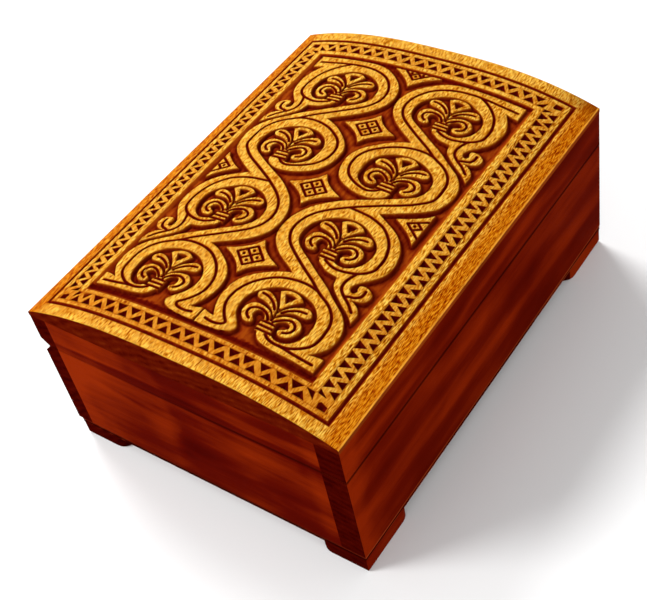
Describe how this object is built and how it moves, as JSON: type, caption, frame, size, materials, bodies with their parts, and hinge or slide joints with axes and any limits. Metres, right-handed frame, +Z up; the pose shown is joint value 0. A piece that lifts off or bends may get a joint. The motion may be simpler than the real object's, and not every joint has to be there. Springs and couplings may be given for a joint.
{
  "type": "wooden jewelry box",
  "caption": "Rectangular wooden keepsake box with corner feet, open cavity and a crowned carved lid on small butt hinges along its back edge.",
  "frame": {"origin": "on the ground, under the middle of the box", "axes": "+X along the length, to the right when the front is faced; -Y out of the front; the hinges are at +Y; +Z up"},
  "size_m": [0.203, 0.152, 0.0893],
  "materials": {
    "stained_wood": "red-brown mahogany stain under a satin lacquer",
    "carved_wood": "honey-gold satin lacquer, dark stain in the carved hollows",
    "felt": "short dark red felt",
    "brass": "satin brass"
  },
  "bodies": {
    "base": {"body_front_board": "stained_wood", "body_back_board": "stained_wood", "body_left_end_board": "stained_wood", "body_right_end_board": "stained_wood", "bottom_board": "stained_wood", "floor_lining": "felt", "foot_front_left": "stained_wood", "foot_front_right": "stained_wood", "foot_back_left": "stained_wood", "foot_back_right": "stained_wood", "hinge_left_body_leaf": "brass", "hinge_right_body_leaf": "brass", "hinge_left_pin": "brass", "hinge_right_pin": "brass", "hinge_left_body_screw_1": "brass", "hinge_left_body_screw_2": "brass", "hinge_right_body_screw_1": "brass", "hinge_right_body_screw_2": "brass"},
    "lid": {"lid_front_rail": "stained_wood", "lid_back_rail": "stained_wood", "lid_left_end_rail": "stained_wood", "lid_right_end_rail": "stained_wood", "carved_top_panel": "carved_wood", "hinge_left_lid_leaf": "brass", "hinge_right_lid_leaf": "brass", "hinge_left_lid_screw_1": "brass", "hinge_left_lid_screw_2": "brass", "hinge_right_lid_screw_1": "brass", "hinge_right_lid_screw_2": "brass"}
  },
  "joints": [
    {"name": "lid_hinge", "type": "hinge", "parent": "base", "child": "lid", "pos_m": [0, 0.073, 0.0592], "axis": [-1, 0, 0], "range_deg": [0, 105]}
  ]
}
